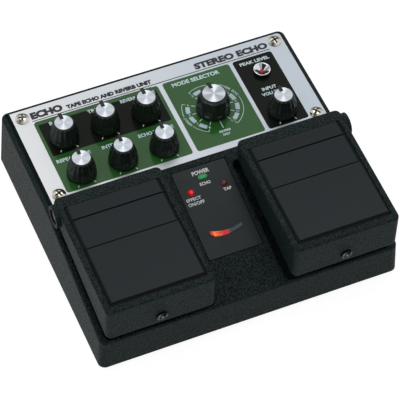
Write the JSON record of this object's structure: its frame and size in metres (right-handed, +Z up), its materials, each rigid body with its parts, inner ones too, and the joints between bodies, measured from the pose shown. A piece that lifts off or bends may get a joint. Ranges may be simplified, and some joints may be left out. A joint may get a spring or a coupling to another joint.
{
  "type": "tape echo unit",
  "caption": "Twin-pedal floor echo and reverb unit with sloping cast case, dial panel, indicator plate and rear sockets.",
  "frame": {"origin": "on the floor under the middle of the unit", "axes": "+X to the right across the unit, +Y from the pedals to the sockets, +Z up"},
  "size_m": [0.1734, 0.162, 0.0556],
  "materials": {
    "case_paint": "charcoal black wrinkle paint on cast aluminium",
    "pedal_paint": "charcoal black wrinkle paint on cast aluminium",
    "panel_metal": "satin silver sheet with printed green and black fields",
    "plate": "smooth dark grey lacquered plate",
    "nickel": "bright nickel-plated steel",
    "steel": "plain zinc-plated steel",
    "dark_screw": "glossy black steel",
    "rubber": "smooth dark grey moulded rubber",
    "foot_rubber": "black moulded rubber",
    "knob_plastic": "glossy black moulded plastic",
    "disc_metal": "spun aluminium with radial sheen",
    "green_lens": "translucent green plastic",
    "red_lens": "translucent red plastic",
    "clear_lens": "smoked red plastic",
    "board": "green circuit board",
    "black_plastic": "black moulded plastic",
    "cell_sleeve": "bare printed metal sleeve",
    "spring_steel": "spring steel wire"
  },
  "bodies": {
    "case": {"case_shell": "case_paint", "base_plate": "steel", "base_screws": "steel", "rubber_feet": "foot_rubber", "control_panel": "panel_metal", "panel_screws": "nickel", "indicator_plate": "plate", "power_led": "green_lens", "effect_led": "red_lens", "tap_led": "red_lens", "arc_lens": "clear_lens", "peak_led": "red_lens", "peak_led_bezel": "nickel", "panel_board": "board", "jack_board": "board", "pot_bodies": "steel", "mode_switch_body": "steel", "pot_nuts": "steel", "audio_jacks": "black_plastic", "jack_nuts": "nickel", "dc_inlet": "black_plastic", "pivot_pins": "steel", "foot_switches": "black_plastic", "battery_box": "black_plastic", "batteries": "cell_sleeve", "left_return_spring": "spring_steel", "right_return_spring": "spring_steel"},
    "battery_door": {"battery_door": "black_plastic"},
    "bass": {"bass_knob": "knob_plastic", "bass_disc": "disc_metal", "bass_shaft": "steel"},
    "treble": {"treble_knob": "knob_plastic", "treble_disc": "disc_metal", "treble_shaft": "steel"},
    "reverb_volume": {"reverb_volume_knob": "knob_plastic", "reverb_volume_disc": "disc_metal", "reverb_volume_shaft": "steel"},
    "repeat_rate": {"repeat_rate_knob": "knob_plastic", "repeat_rate_disc": "disc_metal", "repeat_rate_shaft": "steel"},
    "intensity": {"intensity_knob": "knob_plastic", "intensity_disc": "disc_metal", "intensity_shaft": "steel"},
    "echo_volume": {"echo_volume_knob": "knob_plastic", "echo_volume_disc": "disc_metal", "echo_volume_shaft": "steel"},
    "input_volume": {"input_volume_knob": "knob_plastic", "input_volume_disc": "disc_metal", "input_volume_shaft": "steel"},
    "mode_selector": {"mode_selector_knob": "knob_plastic", "mode_selector_disc": "disc_metal", "mode_selector_shaft": "steel"},
    "left_pedal": {"left_pedal": "pedal_paint", "left_pedal_pad": "rubber", "left_pedal_screw": "dark_screw"},
    "left_plunger": {"left_switch_plunger": "black_plastic"},
    "right_pedal": {"right_pedal": "pedal_paint", "right_pedal_pad": "rubber", "right_pedal_screw": "dark_screw"},
    "right_plunger": {"right_switch_plunger": "black_plastic"}
  },
  "joints": [
    {"name": "bass_turn", "type": "hinge", "parent": "case", "child": "bass", "pos_m": [-0.0582, 0.0473, 0.0394], "axis": [0, 0, 1], "range_deg": [-150, 150]},
    {"name": "treble_turn", "type": "hinge", "parent": "case", "child": "treble", "pos_m": [-0.0341, 0.0473, 0.0394], "axis": [0, 0, 1], "range_deg": [-150, 150]},
    {"name": "reverb_volume_turn", "type": "hinge", "parent": "case", "child": "reverb_volume", "pos_m": [-0.01, 0.0473, 0.0394], "axis": [0, 0, 1], "range_deg": [-150, 150]},
    {"name": "repeat_rate_turn", "type": "hinge", "parent": "case", "child": "repeat_rate", "pos_m": [-0.0582, 0.021, 0.0394], "axis": [0, 0, 1], "range_deg": [-150, 150]},
    {"name": "intensity_turn", "type": "hinge", "parent": "case", "child": "intensity", "pos_m": [-0.0341, 0.021, 0.0394], "axis": [0, 0, 1], "range_deg": [-150, 150]},
    {"name": "echo_volume_turn", "type": "hinge", "parent": "case", "child": "echo_volume", "pos_m": [-0.01, 0.021, 0.0394], "axis": [0, 0, 1], "range_deg": [-150, 150]},
    {"name": "input_volume_turn", "type": "hinge", "parent": "case", "child": "input_volume", "pos_m": [0.0605, 0.021, 0.0394], "axis": [0, 0, 1], "range_deg": [-150, 150]},
    {"name": "mode_selector_turn", "type": "hinge", "parent": "case", "child": "mode_selector", "pos_m": [0.0254, 0.036, 0.0394], "axis": [0, 0, 1], "range_deg": [-165, 165]},
    {"name": "left_pedal_press", "type": "hinge", "parent": "case", "child": "left_pedal", "pos_m": [-0.0527, -0.008, 0.0493], "axis": [1, 0, 0], "range_deg": [0, 3.5], "stiffness_Nm_per_rad": 6, "springref_deg": -2.86, "deforming": ["left_return_spring"]},
    {"name": "left_plunger_slide", "type": "slide", "parent": "case", "child": "left_plunger", "axis": [0, 0, -1], "range_m": [0, 0.0026]},
    {"name": "right_pedal_press", "type": "hinge", "parent": "case", "child": "right_pedal", "pos_m": [0.0527, -0.008, 0.0493], "axis": [1, 0, 0], "range_deg": [0, 3.5], "stiffness_Nm_per_rad": 6, "springref_deg": -2.86, "deforming": ["right_return_spring"]},
    {"name": "right_plunger_slide", "type": "slide", "parent": "case", "child": "right_plunger", "axis": [0, 0, -1], "range_m": [0, 0.0026]},
    {"name": "battery_door_swing", "type": "hinge", "parent": "case", "child": "battery_door", "pos_m": [0, 0.02135, 0.00395], "axis": [1, 0, 0], "range_deg": [0, 90]}
  ],
  "couplings": [
    {"joint": "left_plunger_slide", "follows": "left_pedal_press", "m_per_rad": 0.042},
    {"joint": "right_plunger_slide", "follows": "right_pedal_press", "m_per_rad": 0.042}
  ]
}
